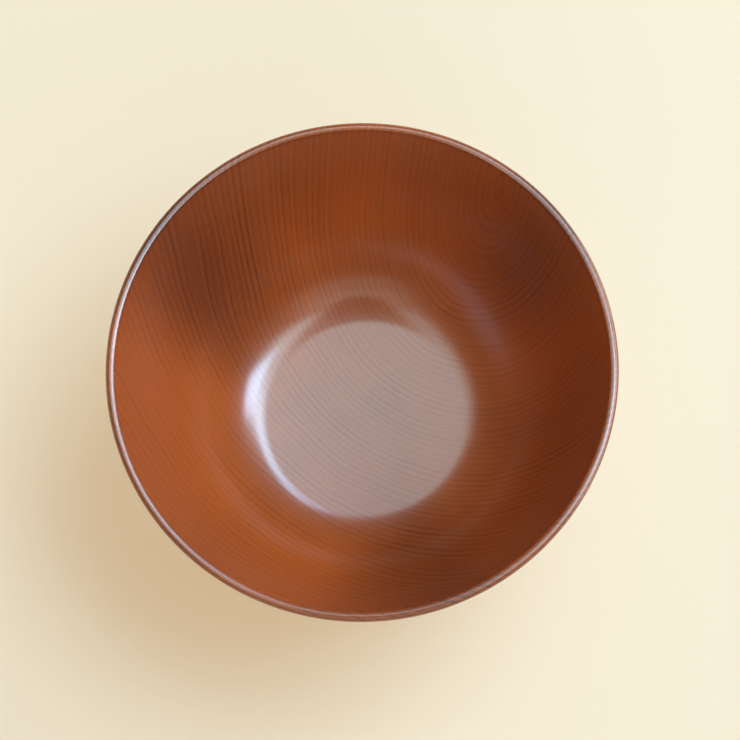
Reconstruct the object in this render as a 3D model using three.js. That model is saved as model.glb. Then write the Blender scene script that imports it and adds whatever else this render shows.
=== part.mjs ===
// Lidded soup bowl of turned, lacquered wood, standing open with its lid set down beside it.
// Millimetres, +Z up, z = 0 on the table. The origin is the middle of the footprint of the two pieces.
// Each piece is turned from one block, so each is one half section revolved about its own axis.
import * as THREE from 'three';

// Bowl
const RIM_DIAMETER = 120; // widest outside, just under the lip
const BOWL_HEIGHT = 69; // table to the top of the lip
const LIP_THICKNESS = 2.1;
const LIP_OUTER_ROLL = 2; // height over which the lip rounds over outside
const LIP_INNER_ROLL = 1; // and inside
const WELL_DIAMETER = 49.4; // flat part of the inside floor
const FLOOR_THICKNESS = 6.4; // between the inside floor and the hollow of the foot
const WALL_LEAN_INSIDE = 7; // degrees off upright at the lip
const WALL_LEAN_OUTSIDE = 6;

// Foot ring of the bowl
const FOOT_DIAMETER = 55;
const FOOT_HEIGHT = 8; // table to the underside of the body
const FOOT_TAPER = 0.6; // the ring draws in by this much, per side, towards the body
const FOOT_WALL = 4;
const FOOT_HOLLOW = 6; // depth of the hollow inside the ring
const FOOT_EDGE = 0.7; // rounding of the edges of the ring
const NECK_FILLET = 1.5; // between the ring and the body

// Lid, which sits inside the lip with its edge against the inside wall
const LID_SEAT_DEPTH = 5; // top of the lip to the edge of the seated lid
const LID_CLEARANCE = 0.3; // between that edge and the wall, per side
const LID_EDGE_THICKNESS = 2.2;
const LID_EDGE_ROLL = 1; // height of the rounding of the edge
const DOME_HEIGHT = 20; // edge of the lid to its crown
const CROWN_THICKNESS = 4;
const DOME_LEAN_OUTSIDE = 30; // degrees off upright at the edge
const DOME_LEAN_INSIDE = 32;
const CEILING_DIAMETER = 44; // flat part inside the lid

// Ring knob of the lid
const KNOB_DIAMETER = 47;
const KNOB_HEIGHT = 8; // above the crown
const KNOB_FLARE = 0.8; // the ring opens by this much, per side, towards its top
const KNOB_WALL = 3.6;
const KNOB_HOLLOW = 6.6; // depth of the hollow inside the ring

// Layout on the table
const LID_SPACING = 60; // clear space between the bowl and the lid

// Facets
const TURN_STEPS = 72;
const WALL_STEPS = 13;
const ROUND_STEPS = 2;
const LIP_STEPS = 3;

const rimRadius = RIM_DIAMETER / 2;
const mouthRadius = rimRadius - LIP_THICKNESS;
const wellRadius = WELL_DIAMETER / 2;
const floorHeight = FOOT_HOLLOW + FLOOR_THICKNESS;

const at = (radius, height) => new THREE.Vector2(radius, height);

// Part of an ellipse in the half section, between two angles in degrees.
function arc(centre, radiusAcross, radiusUp, from, to, steps) {
  const start = THREE.MathUtils.degToRad(from);
  const end = THREE.MathUtils.degToRad(to);
  const curve = new THREE.EllipseCurve(centre.x, centre.y, radiusAcross, radiusUp, start, end, to < from);
  return curve.getPoints(steps);
}

// Wall of a turned piece: the ellipse that is level at one point and leans off upright at the other.
function turnedWall(level, edge, leanDegrees) {
  const width = edge.x - level.x;
  const height = edge.y - level.y;
  const share = (Math.tan(THREE.MathUtils.degToRad(leanDegrees)) * Math.abs(height)) / width;
  const sine = share / (1 - share);
  const radiusAcross = width / Math.sqrt(1 - sine * sine);
  const radiusUp = height / (1 - sine);
  const centre = at(level.x, level.y + radiusUp);
  return {
    points: arc(centre, radiusAcross, radiusUp, -90, -THREE.MathUtils.radToDeg(Math.asin(sine)), WALL_STEPS),
    radiusAt: (height) => centre.x + radiusAcross * Math.sqrt(1 - ((centre.y - height) / radiusUp) ** 2),
  };
}

// A closed half section, from the underside on the axis, round the outside, to the top on the axis.
function outline(...stretches) {
  const points = stretches.flat();
  return points.filter((point, i) => i === 0 || point.distanceTo(points[i - 1]) > 1e-6);
}

// Revolves a half section about +Z.
function turned(section) {
  return new THREE.LatheGeometry(section, TURN_STEPS).rotateX(Math.PI / 2);
}

const lacqueredWood = new THREE.MeshStandardMaterial({ color: 0x8f4520, roughness: 0.28, metalness: 0 });

const bowlInside = turnedWall(
  at(wellRadius, floorHeight),
  at(mouthRadius, BOWL_HEIGHT - LIP_INNER_ROLL),
  WALL_LEAN_INSIDE,
);

function bowlSection() {
  const footRadius = FOOT_DIAMETER / 2;
  const hollowRadius = footRadius - FOOT_WALL;
  const neckRadius = footRadius - FOOT_TAPER;
  const lipMiddle = rimRadius - LIP_THICKNESS / 2;
  const bodyOutside = turnedWall(
    at(neckRadius + NECK_FILLET, FOOT_HEIGHT),
    at(rimRadius, BOWL_HEIGHT - LIP_OUTER_ROLL),
    WALL_LEAN_OUTSIDE,
  );
  return outline(
    at(0, FOOT_HOLLOW),
    arc(at(hollowRadius - NECK_FILLET, FOOT_HOLLOW - NECK_FILLET), NECK_FILLET, NECK_FILLET, 90, 0, ROUND_STEPS),
    arc(at(hollowRadius + FOOT_EDGE, FOOT_EDGE), FOOT_EDGE, FOOT_EDGE, 180, 270, ROUND_STEPS),
    arc(at(footRadius - FOOT_EDGE, FOOT_EDGE), FOOT_EDGE, FOOT_EDGE, 270, 360, ROUND_STEPS),
    arc(at(neckRadius + NECK_FILLET, FOOT_HEIGHT - NECK_FILLET), NECK_FILLET, NECK_FILLET, 180, 90, ROUND_STEPS),
    bodyOutside.points,
    arc(at(lipMiddle, BOWL_HEIGHT - LIP_OUTER_ROLL), LIP_THICKNESS / 2, LIP_OUTER_ROLL, 0, 90, LIP_STEPS),
    arc(at(lipMiddle, BOWL_HEIGHT - LIP_INNER_ROLL), LIP_THICKNESS / 2, LIP_INNER_ROLL, 90, 180, LIP_STEPS),
    bowlInside.points.toReversed(),
    at(0, floorHeight),
  );
}

const lidRadius = bowlInside.radiusAt(BOWL_HEIGHT - LID_SEAT_DEPTH) - LID_CLEARANCE;

function lidSection() {
  const ceilingHeight = DOME_HEIGHT - CROWN_THICKNESS;
  const edgeMiddle = lidRadius - LID_EDGE_THICKNESS / 2;
  const knobTopRadius = KNOB_DIAMETER / 2;
  const knobRootRadius = knobTopRadius - KNOB_FLARE;
  const knobTop = DOME_HEIGHT + KNOB_HEIGHT;
  const hollowRadius = knobTopRadius - KNOB_WALL;
  const hollowFloor = knobTop - KNOB_HOLLOW;
  const domeInside = turnedWall(
    at(CEILING_DIAMETER / 2, ceilingHeight),
    at(lidRadius - LID_EDGE_THICKNESS, LID_EDGE_ROLL),
    DOME_LEAN_INSIDE,
  );
  const domeOutside = turnedWall(
    at(knobRootRadius + NECK_FILLET, DOME_HEIGHT),
    at(lidRadius, LID_EDGE_ROLL),
    DOME_LEAN_OUTSIDE,
  );
  return outline(
    at(0, ceilingHeight),
    domeInside.points,
    arc(at(edgeMiddle, LID_EDGE_ROLL), LID_EDGE_THICKNESS / 2, LID_EDGE_ROLL, 180, 360, 2 * ROUND_STEPS),
    domeOutside.points.toReversed(),
    arc(at(knobRootRadius + NECK_FILLET, DOME_HEIGHT + NECK_FILLET), NECK_FILLET, NECK_FILLET, 270, 180, ROUND_STEPS),
    arc(at(knobTopRadius - FOOT_EDGE, knobTop - FOOT_EDGE), FOOT_EDGE, FOOT_EDGE, 0, 90, ROUND_STEPS),
    arc(at(hollowRadius + FOOT_EDGE, knobTop - FOOT_EDGE), FOOT_EDGE, FOOT_EDGE, 90, 180, ROUND_STEPS),
    arc(at(hollowRadius - NECK_FILLET, hollowFloor + NECK_FILLET), NECK_FILLET, NECK_FILLET, 360, 270, ROUND_STEPS),
    at(0, hollowFloor),
  );
}

const bowl = new THREE.Mesh(turned(bowlSection()), lacqueredWood);
bowl.name = 'bowl';
const lid = new THREE.Mesh(turned(lidSection()), lacqueredWood);
lid.name = 'lid';

const footprint = RIM_DIAMETER + LID_SPACING + 2 * lidRadius;
bowl.position.x = rimRadius - footprint / 2;
lid.position.x = footprint / 2 - lidRadius;

export default new THREE.Group().add(bowl, lid);
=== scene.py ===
"""Turned and lacquered soup bowl, standing open on a pale floor, with its domed lid set down beside it."""
import math

import bpy
import numpy as np
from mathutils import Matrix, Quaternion, Vector


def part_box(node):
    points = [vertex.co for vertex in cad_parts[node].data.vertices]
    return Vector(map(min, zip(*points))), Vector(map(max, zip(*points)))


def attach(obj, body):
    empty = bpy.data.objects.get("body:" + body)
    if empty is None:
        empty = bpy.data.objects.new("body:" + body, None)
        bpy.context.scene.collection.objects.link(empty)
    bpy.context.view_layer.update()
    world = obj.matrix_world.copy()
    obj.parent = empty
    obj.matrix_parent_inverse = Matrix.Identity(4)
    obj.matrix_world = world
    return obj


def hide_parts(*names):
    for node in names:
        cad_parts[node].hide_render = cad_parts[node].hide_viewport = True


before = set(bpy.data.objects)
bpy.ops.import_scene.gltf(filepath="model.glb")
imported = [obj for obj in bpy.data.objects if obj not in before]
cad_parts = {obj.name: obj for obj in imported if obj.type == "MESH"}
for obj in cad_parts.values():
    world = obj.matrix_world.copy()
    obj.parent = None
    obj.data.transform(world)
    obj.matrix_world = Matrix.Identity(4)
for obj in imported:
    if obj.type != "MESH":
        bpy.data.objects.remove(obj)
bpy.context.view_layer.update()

# Sizes of the turned sections, in millimetres
MM = 0.001
LIP_THICKNESS = 2.1
LIP_OUTER_ROLL = 1.2
LIP_INNER_ROLL = 1.0
LIP_CREST = 1.1
LIP_SLOPE_RADIUS = 2.2
LIP_SLOPE_END = 22
WELL_RADIUS = 24.7
WELL_BLEND = 0.6
FLOOR_HEIGHT = 12.4
WALL_LEAN_INSIDE = 7
WALL_LEAN_OUTSIDE = 6
FOOT_RADIUS = 27.5
FOOT_HEIGHT = 8.0
FOOT_TAPER = 0.6
FOOT_WALL = 4.0
FOOT_HOLLOW = 6.0
FOOT_EDGE = 0.7
NECK_FILLET = 1.5
LID_EDGE_THICKNESS = 2.2
LID_EDGE_ROLL = 1.0
DOME_HEIGHT = 20.0
CROWN_THICKNESS = 4.0
DOME_LEAN_OUTSIDE = 30
DOME_LEAN_INSIDE = 32
CEILING_RADIUS = 22.0
KNOB_RADIUS = 23.5
KNOB_FLARE = 0.8
KNOB_WALL = 3.6
KNOB_HOLLOW = 6.6

# Fineness of the turned surfaces
TURN_STEPS = 320
FLAT_STEPS = 8
DISH_STEPS = 24
WALL_STEPS = 72
ROUND_STEPS = 9
LIP_STEPS = 14

# Camera, as the photograph was taken: tilt from the horizon, turn about the line of sight, in degrees
CAMERA_ELEVATION = 76.3
CAMERA_ROLL = -4.0
CAMERA_DISTANCE = 551.6
CAMERA_ASIDE = (1.93, -0.91)
FOCAL_PIXELS = 2360.0
FRAME_PIXELS = 740


def arc(centre, across, up, start, end, steps):
    """Part of an ellipse: centre plus (across cos t, up sin t), for t from start to end in degrees."""
    t = np.radians(np.linspace(start, end, steps))
    return np.column_stack((centre[0] + across * np.cos(t), centre[1] + up * np.sin(t)))


def turned_wall(level, edge, lean):
    """Ellipse that leaves the point level flat and reaches the point edge leaning lean degrees off upright.

    With share = tan(lean) times height over width, the ellipse ends where its sine is share / (1 - share).
    That sets its two radii from the width and the height between the points.
    """
    width = edge[0] - level[0]
    height = edge[1] - level[1]
    share = math.tan(math.radians(lean)) * abs(height) / width
    sine = share / (1 - share)
    across = width / math.sqrt(1 - sine * sine)
    up = height / (1 - sine)
    return arc((level[0], level[1] + up), across, up, -90, -math.degrees(math.asin(sine)), WALL_STEPS)


def flat(start, end):
    """Evenly spaced points on a straight stretch of the section."""
    share = np.linspace(0, 1, FLAT_STEPS)[:, None]
    return np.asarray(start) * (1 - share) + np.asarray(end) * share


def dish(edge, rise):
    """Shallow parabola from its edge to the axis, with the slope rise at the edge and level on the axis."""
    radius = np.linspace(edge[0], 0, DISH_STEPS)
    depth = rise * edge[0] / 2
    return np.column_stack((radius, edge[1] - depth * (1 - (radius / edge[0]) ** 2)))


def section(*stretches):
    """Joins stretches of a half section and drops each point that repeats the one before it."""
    points = np.concatenate(stretches)
    step = np.linalg.norm(np.diff(points, axis=0), axis=1)
    return points[np.concatenate(([True], step > 1e-6))]


def turned_piece(name, points, axis_x):
    """Surface of revolution over the section (r, height) and the turn a.

    x = axis_x + r cos a, y = r sin a, z = height. The section starts and ends on the axis, where each end
    closes in a fan about one pole vertex.
    """
    ring = points[1:-1]
    angle = np.linspace(0, 2 * np.pi, TURN_STEPS, endpoint=False)
    grid = np.empty((len(ring), TURN_STEPS, 3))
    grid[:, :, 0] = np.outer(ring[:, 0], np.cos(angle))
    grid[:, :, 1] = np.outer(ring[:, 0], np.sin(angle))
    grid[:, :, 2] = ring[:, 1, None]
    poles = np.array([[0, 0, points[0, 1]], [0, 0, points[-1, 1]]])
    vertices = np.concatenate((grid.reshape(-1, 3), poles)) * MM
    vertices[:, 0] += axis_x

    column = np.arange(TURN_STEPS)
    following = (column + 1) % TURN_STEPS
    row = np.arange(len(ring) - 1)[:, None] * TURN_STEPS
    next_row = row + TURN_STEPS
    quads = np.stack((row + column, row + following, next_row + following, next_row + column), axis=-1)
    pole = len(ring) * TURN_STEPS
    last = pole - TURN_STEPS
    first_fan = np.column_stack((following, column, np.full(TURN_STEPS, pole)))
    last_fan = np.column_stack((last + column, last + following, np.full(TURN_STEPS, pole + 1)))

    mesh = bpy.data.meshes.new(name)
    faces = quads.reshape(-1, 4).tolist() + first_fan.tolist() + last_fan.tolist()
    mesh.from_pydata(vertices, [], faces)
    mesh.shade_smooth()
    piece = bpy.data.objects.new(name, mesh)
    bpy.context.scene.collection.objects.link(piece)
    return piece


def bowl_section(rim_radius, height):
    """Half section of the bowl: hollow of the foot, foot ring, outside, lip, inside wall and floor."""
    hollow_radius = FOOT_RADIUS - FOOT_WALL
    neck_radius = FOOT_RADIUS - FOOT_TAPER
    lip_crest = rim_radius - LIP_CREST
    inner_edge = rim_radius - LIP_THICKNESS
    slope_centre = (lip_crest, height - LIP_SLOPE_RADIUS)
    lip_slope = arc(slope_centre, LIP_SLOPE_RADIUS, LIP_SLOPE_RADIUS, 90, 90 + LIP_SLOPE_END, LIP_STEPS)
    roll_centre = (lip_slope[-1, 0], height - LIP_INNER_ROLL)
    roll_width = roll_centre[0] - inner_edge
    roll_height = lip_slope[-1, 1] - roll_centre[1]
    hollow_corner = (hollow_radius - NECK_FILLET, FOOT_HOLLOW - NECK_FILLET)
    neck_corner = (neck_radius + NECK_FILLET, FOOT_HEIGHT - NECK_FILLET)
    body = turned_wall(
        (neck_corner[0], FOOT_HEIGHT),
        (rim_radius, height - LIP_OUTER_ROLL),
        WALL_LEAN_OUTSIDE,
    )
    inside = turned_wall(
        (WELL_RADIUS - WELL_BLEND, FLOOR_HEIGHT),
        (inner_edge, height - LIP_INNER_ROLL),
        WALL_LEAN_INSIDE,
    )
    inside = inside[inside[:, 0] > WELL_RADIUS]
    rise = (inside[1, 1] - inside[0, 1]) / (inside[1, 0] - inside[0, 0])
    return section(
        flat((0, FOOT_HOLLOW), (hollow_corner[0], FOOT_HOLLOW)),
        arc(hollow_corner, NECK_FILLET, NECK_FILLET, 90, 0, ROUND_STEPS),
        arc((hollow_radius + FOOT_EDGE, FOOT_EDGE), FOOT_EDGE, FOOT_EDGE, 180, 270, ROUND_STEPS),
        arc((FOOT_RADIUS - FOOT_EDGE, FOOT_EDGE), FOOT_EDGE, FOOT_EDGE, 270, 360, ROUND_STEPS),
        arc(neck_corner, NECK_FILLET, NECK_FILLET, 180, 90, ROUND_STEPS),
        body,
        arc((lip_crest, height - LIP_OUTER_ROLL), LIP_CREST, LIP_OUTER_ROLL, 0, 90, LIP_STEPS),
        lip_slope,
        arc(roll_centre, roll_width, roll_height, 90, 180, LIP_STEPS),
        inside[::-1],
        dish(inside[0], rise),
    )


def lid_section(edge_radius, height):
    """Half section of the lid: ceiling and dome inside, edge, dome outside, ring knob and its hollow."""
    ceiling = DOME_HEIGHT - CROWN_THICKNESS
    knob_root = KNOB_RADIUS - KNOB_FLARE + NECK_FILLET
    hollow_radius = KNOB_RADIUS - KNOB_WALL
    hollow_floor = height - KNOB_HOLLOW
    hollow_corner = (hollow_radius - NECK_FILLET, hollow_floor + NECK_FILLET)
    edge_middle = (edge_radius - LID_EDGE_THICKNESS / 2, LID_EDGE_ROLL)
    inside = turned_wall(
        (CEILING_RADIUS, ceiling),
        (edge_radius - LID_EDGE_THICKNESS, LID_EDGE_ROLL),
        DOME_LEAN_INSIDE,
    )
    outside = turned_wall((knob_root, DOME_HEIGHT), (edge_radius, LID_EDGE_ROLL), DOME_LEAN_OUTSIDE)
    return section(
        flat((0, ceiling), (CEILING_RADIUS, ceiling)),
        inside,
        arc(edge_middle, LID_EDGE_THICKNESS / 2, LID_EDGE_ROLL, 180, 360, 2 * ROUND_STEPS),
        outside[::-1],
        arc((knob_root, DOME_HEIGHT + NECK_FILLET), NECK_FILLET, NECK_FILLET, 270, 180, ROUND_STEPS),
        arc((KNOB_RADIUS - FOOT_EDGE, height - FOOT_EDGE), FOOT_EDGE, FOOT_EDGE, 0, 90, ROUND_STEPS),
        arc((hollow_radius + FOOT_EDGE, height - FOOT_EDGE), FOOT_EDGE, FOOT_EDGE, 90, 180, ROUND_STEPS),
        arc(hollow_corner, NECK_FILLET, NECK_FILLET, 360, 270, ROUND_STEPS),
        flat((hollow_corner[0], hollow_floor), (0, hollow_floor)),
    )


class Nodes:
    """Short hand for laying out and linking shader nodes in one tree."""

    def __init__(self, tree):
        self.tree = tree

    def add(self, kind, inputs=None, **settings):
        """Adds a node, sets its own settings, then links or sets the inputs named in a dict."""
        node = self.tree.nodes.new(kind)
        for key, value in settings.items():
            setattr(node, key, value)
        for key, value in (inputs or {}).items():
            if isinstance(value, bpy.types.NodeSocket):
                self.tree.links.new(value, node.inputs[key])
            else:
                node.inputs[key].default_value = value
        return node

    def math(self, operation, first, second=0.0, clamp=False):
        """One Math node, and its output."""
        node = self.add("ShaderNodeMath", {0: first, 1: second}, operation=operation, use_clamp=clamp)
        return node.outputs[0]

    def vector(self, operation, first, second=(0, 0, 0)):
        """One Vector Math node, and its vector output."""
        return self.add("ShaderNodeVectorMath", {0: first, 1: second}, operation=operation).outputs[0]

    def distance(self, first, second):
        """Distance between two places."""
        node = self.add("ShaderNodeVectorMath", {0: first, 1: second}, operation="DISTANCE")
        return node.outputs["Value"]

    def spread(self, value, low, high, to_low, to_high):
        """Maps a value from one range to another, held at the ends."""
        inputs = {"Value": value, "From Min": low, "From Max": high, "To Min": to_low, "To Max": to_high}
        return self.add("ShaderNodeMapRange", inputs).outputs["Result"]

    def smooth(self, value, low, high):
        """Smooth step from 0 at low to 1 at high."""
        inputs = {"Value": value, "From Min": low, "From Max": high}
        return self.add("ShaderNodeMapRange", inputs, interpolation_type="SMOOTHSTEP").outputs["Result"]

    def noise(self, vector, scale, detail=2.0, roughness=0.5):
        """Smooth 3-D noise about 0.5."""
        inputs = {"Vector": vector, "Scale": scale, "Detail": detail, "Roughness": roughness}
        return self.add("ShaderNodeTexNoise", inputs)

    def mix(self, share, first, second):
        """Blend of two colours."""
        node = self.add("ShaderNodeMix", data_type="RGBA")
        for socket, value in ((0, share), (6, first), (7, second)):
            if isinstance(value, bpy.types.NodeSocket):
                self.tree.links.new(value, node.inputs[socket])
            else:
                node.inputs[socket].default_value = value
        return node.outputs[2]


# Lacquered wood: colours as linear light
EARLY_WOOD = (0.50, 0.119, 0.021, 1)
LATE_WOOD = (0.13, 0.028, 0.009, 1)
RING_SPACING = 1.45
LACQUER_IOR = 1.6
BASE_STAIN = 0.22
LIP_STAIN = 0.3
# Darker and lighter spots on the bowl: partly stain in the wood, partly painted shade and painted light on
# the inside wall and floor
BOWL_STAIN_AND_PAINTED_LIGHT_SPOTS = (
    (-38, 32, 28, 0.55),
    (12, -45, 30, 0.35),
    (45, 32, 24, 0.35),
    (0, 0, 46, 0.32),
    (-50, 6, 25, -0.35),
    (-23, -39, 22, -0.25),
    (41, 7, 18, -0.25),
    (3, 32, 20, 0.25),
    (4, 53, 18, -0.2),
    (8, -34, 26, 0.15),
    (-40, -15, 18, -0.2),
)
LID_SPOTS = ((-20, 25, 34, 0.3), (30, -20, 30, -0.2))


def lacquered_wood(name, axis_x, pith, spots, lip_level):
    """Stained wood under clear lacquer, with growth rings about an upright pith line.

    The pith and the spots of darker or lighter tone are placed in millimetres from the turning axis; on the
    bowl these spots are partly stain in the wood and partly painted shade and painted light.
    A spot is (x, y, radius, darkening).
    The wood darkens toward lip_level, the height of the edge where the lacquer lies thickest.
    """
    material = bpy.data.materials.new(name)
    material.use_nodes = True
    material.node_tree.nodes.clear()
    n = Nodes(material.node_tree)
    object_coordinates = n.add("ShaderNodeTexCoord").outputs["Object"]
    about_pith = n.add(
        "ShaderNodeMapping",
        {"Vector": object_coordinates, "Location": (-axis_x - pith[0] * MM, -pith[1] * MM, 0)},
        vector_type="POINT",
    ).outputs["Vector"]
    in_mm = n.vector("MULTIPLY", about_pith, (1 / MM,) * 3)

    # Rings: distance from the pith, bent by slow noise that hardly changes along the trunk
    along_trunk = n.vector("MULTIPLY", in_mm, (1, 1, 0.25))
    bend = n.noise(along_trunk, 0.03, detail=2.0).outputs["Color"]
    bend = n.vector("SUBTRACT", bend, (0.5, 0.5, 0.5))
    bend = n.vector("MULTIPLY", bend, (4, 4, 0))
    flat_place = n.vector("MULTIPLY", in_mm, (1, 1, 0))
    bent = n.vector("ADD", flat_place, bend)
    radius = n.distance(bent, (0, 0, 0))
    turn_count = n.math("DIVIDE", radius, RING_SPACING)
    ring = n.math("FRACT", turn_count)
    ring_number = n.math("FLOOR", turn_count)
    ring_luck = n.add("ShaderNodeTexWhiteNoise", {"W": ring_number}, noise_dimensions="1D").outputs["Value"]
    late = n.spread(ring, 0.35, 0.9, 0.0, 1.0)
    fall = n.spread(ring, 0.9, 1.0, 1.0, 0.0)
    ring_line = n.math("MULTIPLY", late, fall)
    ring_line = n.math("MULTIPLY", ring_line, n.spread(ring_luck, 0, 1, 0.5, 1.0))
    # Streaks: uneven fine lines along the rings
    streak = n.add(
        "ShaderNodeTexNoise",
        {"W": radius, "Scale": 1.3, "Detail": 3.0, "Roughness": 0.65},
        noise_dimensions="1D",
    ).outputs["Fac"]

    # Fibres: long in the trunk's direction, short across it
    fibre_place = n.vector("MULTIPLY", in_mm, (1.6, 1.6, 0.05))
    fibre = n.noise(fibre_place, 1.0, detail=3.0, roughness=0.6).outputs["Fac"]
    # Stain: slow patches
    patch = n.noise(along_trunk, 0.045, detail=2.0).outputs["Fac"]

    uneven = n.spread(streak, 0.25, 0.75, -0.4, 0.25)
    lines = n.math("ADD", n.math("MULTIPLY", ring_line, 0.75), uneven)
    darkness = n.math("MULTIPLY", lines, n.spread(patch, 0.3, 0.7, 0.25, 0.48))
    darkness = n.math("ADD", darkness, n.spread(fibre, 0.3, 0.7, -0.06, 0.06))
    stain = n.spread(patch, 0.3, 0.75, BASE_STAIN - 0.08, BASE_STAIN + 0.08)
    darkness = n.math("ADD", darkness, stain)
    # Each spot darkens or lightens the wood about a place; on the bowl this is partly stain and partly
    # painted shade and painted light
    for x, y, reach, strength in spots:
        centre = (x - pith[0], y - pith[1], 0)
        nearness = n.smooth(n.distance(flat_place, centre), reach, 0.0)
        darkness = n.math("ADD", darkness, n.math("MULTIPLY", nearness, strength))
    level = n.add("ShaderNodeSeparateXYZ", {0: in_mm}).outputs["Z"]
    at_lip = n.smooth(level, lip_level - 2.5, lip_level)
    darkness = n.math("ADD", darkness, n.math("MULTIPLY", at_lip, LIP_STAIN))
    darkness = n.math("MAXIMUM", darkness, 0.0, clamp=True)
    colour = n.mix(darkness, EARLY_WOOD, LATE_WOOD)
    height = n.math("ADD", streak, n.math("MULTIPLY", fibre, 0.4))
    relief = {"Height": height, "Strength": 0.06, "Distance": 0.0002}
    bump = n.add("ShaderNodeBump", relief).outputs["Normal"]
    shader = n.add(
        "ShaderNodeBsdfPrincipled",
        {
            "Base Color": colour,
            "Roughness": 0.4,
            "IOR": LACQUER_IOR,
            "Specular IOR Level": 0.16,
            "Coat Weight": 1.0,
            "Coat Roughness": 0.17,
            "Coat IOR": 1.5,
            "Normal": bump,
            "Coat Normal": bump,
        },
    )
    n.add("ShaderNodeOutputMaterial", {"Surface": shader.outputs["BSDF"]})
    return material


def dress(piece, node, material):
    """Puts the finished piece in the place of its CAD node, on the body of the same name."""
    piece.data.materials.append(material)
    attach(piece, node)
    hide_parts(node)


# Pieces, on the axes that the frame gives
bowl_low, bowl_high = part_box("bowl")
lid_low, lid_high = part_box("lid")
bowl_x = (bowl_low.x + bowl_high.x) / 2
lid_x = (lid_low.x + lid_high.x) / 2
rim_radius = (bowl_high.x - bowl_low.x) / 2 / MM
lid_radius = (lid_high.x - lid_low.x) / 2 / MM
BOWL_PITH = (36, 44)
LID_PITH = (-70, 30)
bowl = turned_piece("turned_bowl", bowl_section(rim_radius, bowl_high.z / MM), bowl_x)
lid = turned_piece("turned_lid", lid_section(lid_radius, lid_high.z / MM), lid_x)
dress(bowl, "bowl", lacquered_wood("bowl_wood", bowl_x, BOWL_PITH, BOWL_STAIN_AND_PAINTED_LIGHT_SPOTS, bowl_high.z / MM))
dress(lid, "lid", lacquered_wood("lid_wood", lid_x, LID_PITH, LID_SPOTS, lid_high.z / MM))


# Floor and light
FLOOR_RADIUS = 6.0
FLOOR_GAP = 0.05
FLOOR_COLOUR = (0.46, 0.54, 0.53, 1)
FLOOR_GLOW = (0.50, 0.34, 0.18, 1)
FLAG_RADIUS = 0.12
FLAG_STRETCH = 2.0
FLAG_COLOUR = (0.01, 0.01, 0.01, 1)
HORIZON = (1.2, 1.14, 1.02, 1)
FILL = (0.16, 0.15, 0.13, 1)
HORIZON_BAND = 0.33
scene = bpy.context.scene


def stage_disc(name, radius, colour, glow=None):
    """A flat round sheet of the studio about the origin: x = radius cos a, y = radius sin a, z = 0.

    A glow is seen by the camera and in mirrors and glass only, so it lights no matt surface and keeps the
    shadow.
    """
    angle = np.linspace(0, 2 * np.pi, 96, endpoint=False)
    edge = np.column_stack((np.cos(angle), np.sin(angle), np.zeros_like(angle))) * radius
    mesh = bpy.data.meshes.new(name)
    mesh.from_pydata(edge, [], [list(range(len(edge)))])
    disc = bpy.data.objects.new(name, mesh)
    scene.collection.objects.link(disc)
    material = bpy.data.materials.new(name)
    material.use_nodes = True
    shader = material.node_tree.nodes["Principled BSDF"]
    shader.inputs["Base Color"].default_value = colour
    shader.inputs["Roughness"].default_value = 1.0
    shader.inputs["Specular IOR Level"].default_value = 0.0
    if glow:
        n = Nodes(material.node_tree)
        path = n.add("ShaderNodeLightPath").outputs
        seen = n.math("ADD", path["Is Camera Ray"], path["Is Glossy Ray"])
        seen = n.math("ADD", seen, path["Is Transmission Ray"], clamp=True)
        shader.inputs["Emission Color"].default_value = glow
        material.node_tree.links.new(seen, shader.inputs["Emission Strength"])
    mesh.materials.append(material)
    return disc


def soft_light(name, place, size, feather, radiance, colour, turn=0.0, level=True, shades=True):
    """A rectangular light, placed in metres from the middle of the bowl's floor, with edges that fade.

    A level light faces straight down and is turned by turn degrees; any other faces the bowl. The feather is
    the share of the size, across and along, over which each edge fades. A light either shades the wood or is
    only mirrored by the lacquer.
    """
    light = bpy.data.lights.new(name, "AREA")
    light.shape = "RECTANGLE"
    light.size, light.size_y = size
    light.energy = radiance * math.pi * size[0] * size[1]
    light.color = colour
    light.use_nodes = True
    n = Nodes(light.node_tree)
    across_panel = n.add("ShaderNodeNewGeometry").outputs["Parametric"]
    from_middle = n.vector("ABSOLUTE", n.vector("SUBTRACT", across_panel, (0.5, 0.5, 0)))
    axes = n.add("ShaderNodeSeparateXYZ", {0: from_middle}).outputs
    fade_across = n.smooth(axes["X"], 0.5, 0.5 - feather[0])
    fade_along = n.smooth(axes["Y"], 0.5, 0.5 - feather[1])
    fade = n.math("MULTIPLY", fade_across, fade_along)
    light.node_tree.links.new(fade, light.node_tree.nodes["Emission"].inputs["Strength"])
    lamp = bpy.data.objects.new(name, light)
    lamp.location = Vector((bowl_x, 0, FLOOR_HEIGHT * MM)) + Vector(place)
    lamp.rotation_mode = "QUATERNION"
    away = Vector((0, 0, 1)) if level else Vector(place).normalized()
    lamp.rotation_quaternion = away.to_track_quat("Z", "Y") @ Quaternion((0, 0, 1), math.radians(turn))
    lamp.visible_camera = False
    lamp.visible_diffuse = shades
    lamp.visible_glossy = not shades
    scene.collection.objects.link(lamp)


floor = stage_disc("pale_floor", FLOOR_RADIUS, FLOOR_COLOUR, FLOOR_GLOW)
floor.location.z = -FLOOR_GAP * MM
DAYLIGHT = (0.88, 1.0, 1.04)
WARM = (1.1, 1.0, 0.85)
COOL = (0.62, 1.0, 1.45)
# Lamps that shade the wood
soft_light("ceiling", (0.5, 0, 1.7), (1.9, 1.5), (0.25, 0.2), 2.1, DAYLIGHT)
soft_light("window", (0.85, 0.28, 1.65), (1.1, 1.6), (0.2, 0.16), 4.8, DAYLIGHT, turn=45)
soft_light("low_window", (1.5, 0.98, 0.9), (1.7, 1.45), (0.25, 0.25), 2.4, WARM, level=False)
soft_light("front_wall", (0.1, -1.5, 1.2), (2.4, 1.5), (0.3, 0.3), 1.1, (1.1, 1.0, 0.9), level=False)
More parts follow.
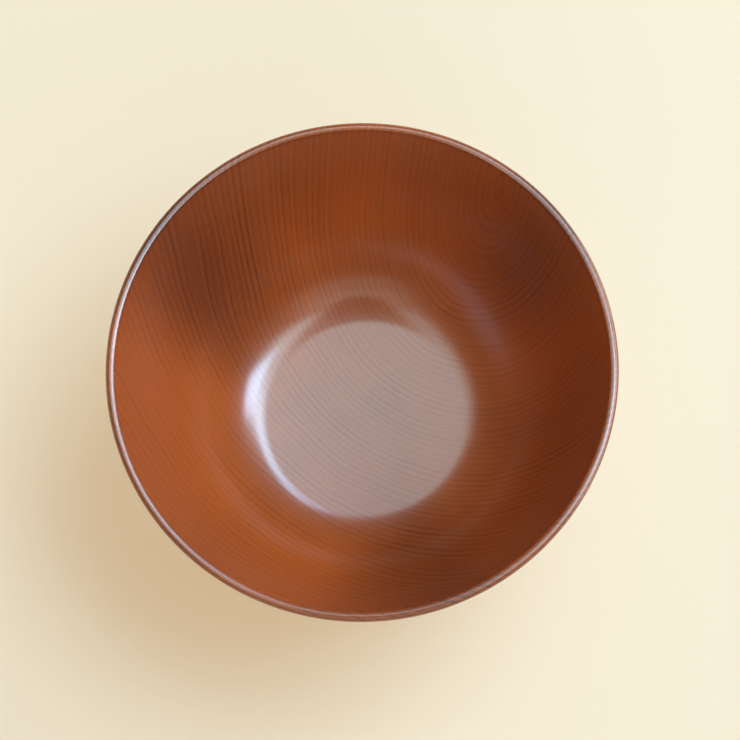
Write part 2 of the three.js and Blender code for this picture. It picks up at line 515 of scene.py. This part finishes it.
# Lamps that only the lacquer mirrors, each at its own height so that none hides another
mirrored = {"shades": False}
soft_light("sky", (0.28, -0.05, 1.6), (2.35, 1.42), (0.38, 0.22), 4.2, (0.6, 1.0, 1.06), **mirrored)
soft_light("haze", (0.0, -0.42, 1.45), (2.1, 2.4), (0.35, 0.35), 1.4, (0.85, 1.0, 0.95), **mirrored)
soft_light("pane", (0.44, 0.47, 1.55), (0.5, 0.9), (0.3, 0.3), 12.0, COOL, turn=45, **mirrored)
soft_light("sun", (1.04, 0.06, 1.5), (1.0, 0.75), (0.25, 0.3), 15.5, COOL, **mirrored)
soft_light("low", (1.9, 0.2, 0.75), (3.2, 0.8), (0.2, 0.3), 10.0, (0.95, 1.0, 1.05), level=False, **mirrored)
soft_light("front", (0.1, -1.45, 1.16), (2.4, 1.5), (0.3, 0.3), 0.8, (1.1, 1.0, 0.8), level=False, **mirrored)


def studio_walls():
    """World that is pale at the horizon, as far as the walls of the studio, and dim above it."""
    world = bpy.data.worlds.new("studio_walls")
    world.use_nodes = True
    n = Nodes(world.node_tree)
    direction = n.add("ShaderNodeTexCoord").outputs["Generated"]
    height = n.add("ShaderNodeSeparateXYZ", {0: direction}).outputs["Z"]
    colour = n.mix(n.smooth(height, 0.0, HORIZON_BAND), HORIZON, FILL)
    world.node_tree.links.new(colour, world.node_tree.nodes["Background"].inputs["Color"])
    scene.world = world


studio_walls()
scene.view_settings.view_transform = "Standard"


def photo_camera():
    """Camera that looks down at the rim from the front, rolled and moved aside as in the photograph."""
    elevation = math.radians(CAMERA_ELEVATION)
    back = Vector((0, -math.cos(elevation), math.sin(elevation)))
    turn = back.to_track_quat("Z", "Y") @ Quaternion((0, 0, 1), math.radians(CAMERA_ROLL))
    data = bpy.data.cameras.new("camera")
    data.sensor_width = 36
    data.lens = 36 * FOCAL_PIXELS / FRAME_PIXELS
    data.clip_start = 0.01
    camera = bpy.data.objects.new("camera", data)
    camera.rotation_mode = "QUATERNION"
    camera.rotation_quaternion = turn
    rim_centre = Vector((bowl_x, 0, bowl_high.z - MM))
    aside = turn @ Vector((CAMERA_ASIDE[0], CAMERA_ASIDE[1], 0)) * MM
    camera.location = rim_centre + back * CAMERA_DISTANCE * MM + aside
    scene.collection.objects.link(camera)
    scene.camera = camera
    return camera


def lens_flag(camera):
    """The dark round of the lens and what is about it, which the lacquer mirrors."""
    flag = stage_disc("lens_flag", FLAG_RADIUS, FLAG_COLOUR)
    flag.rotation_mode = "QUATERNION"
    flag.rotation_quaternion = camera.rotation_quaternion
    flag.location = camera.location
    flag.scale.y = FLAG_STRETCH
    flag.visible_camera = False


lens_flag(photo_camera())
